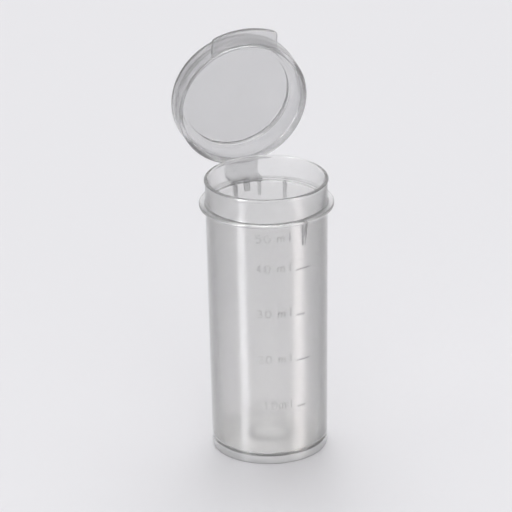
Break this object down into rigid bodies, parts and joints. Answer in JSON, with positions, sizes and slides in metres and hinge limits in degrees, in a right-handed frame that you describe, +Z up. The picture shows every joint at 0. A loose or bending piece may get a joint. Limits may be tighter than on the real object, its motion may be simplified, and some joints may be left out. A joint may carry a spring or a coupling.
{
  "type": "sample tube",
  "caption": "Flat-bottomed translucent plastic sample tube with raised volume marks, a collar and a snap lid on a living hinge.",
  "frame": {"origin": "centre of the ring the tube stands on, at the foot", "axes": "+Z up along the tube's axis; +Y towards the hinge; -Y towards the thumb tab when the lid is shut; +X to the right seen from the front"},
  "size_m": [0.0372, 0.0469, 0.1157],
  "materials": {
    "milky_plastic": "smooth natural polypropylene, slightly milky",
    "clear_plastic": "smooth natural polypropylene, clearer where thin"
  },
  "bodies": {
    "tube": {"tube_wall": "milky_plastic", "foot_ring": "milky_plastic", "base_plate": "milky_plastic", "gate_dome": "milky_plastic", "collar": "clear_plastic", "neck": "clear_plastic", "rim_bead": "clear_plastic", "rib_hinge_left": "clear_plastic", "rib_hinge_right": "clear_plastic", "hinge_post": "clear_plastic", "rib_side_left": "clear_plastic", "rib_side_right": "clear_plastic", "rib_front": "clear_plastic", "tick_10": "milky_plastic", "tick_20": "milky_plastic", "tick_30": "milky_plastic", "tick_40": "milky_plastic", "label_10": "milky_plastic", "label_20": "milky_plastic", "label_30": "milky_plastic", "label_40": "milky_plastic", "label_50": "milky_plastic", "hinge_strap": "clear_plastic"},
    "lid": {"lid_hinge_lug": "clear_plastic", "lid_plate": "clear_plastic", "lid_shoulder": "clear_plastic", "lid_skirt": "clear_plastic", "lid_snap_bead": "clear_plastic", "lid_plug_ring": "clear_plastic", "thumb_tab": "clear_plastic"}
  },
  "joints": [
    {"name": "lid_hinge", "type": "hinge", "parent": "tube", "child": "lid", "pos_m": [0, 0.0213, 0.07185], "axis": [1, 0, 0], "range_deg": [-98, 82]}
  ]
}
